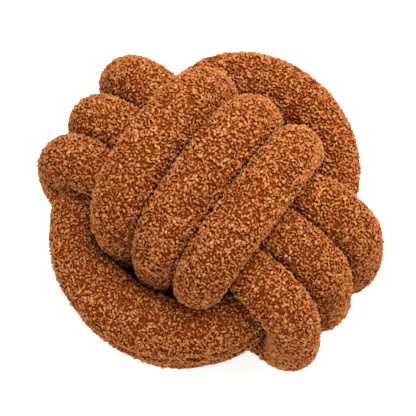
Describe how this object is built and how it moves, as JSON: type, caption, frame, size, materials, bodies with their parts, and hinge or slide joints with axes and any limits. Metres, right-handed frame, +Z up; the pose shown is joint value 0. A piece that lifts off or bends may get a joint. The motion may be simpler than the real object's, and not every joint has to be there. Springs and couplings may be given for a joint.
{
  "type": "knot cushion",
  "caption": "Ball-shaped knot cushion: one long stuffed boucle tube tied as three crossed bands of side-by-side strands.",
  "frame": {"origin": "on the surface it lies on, under the middle of its bounding box", "axes": "+Z up, out of the face band; +Y along the face band's strands; +X along the cross band's strands"},
  "size_m": [0.296, 0.29, 0.301],
  "materials": {
    "boucle": "looped wool-like pile, matt, rust brown"
  },
  "bodies": {
    "root": {"knot_tube": "boucle"}
  },
  "joints": []
}
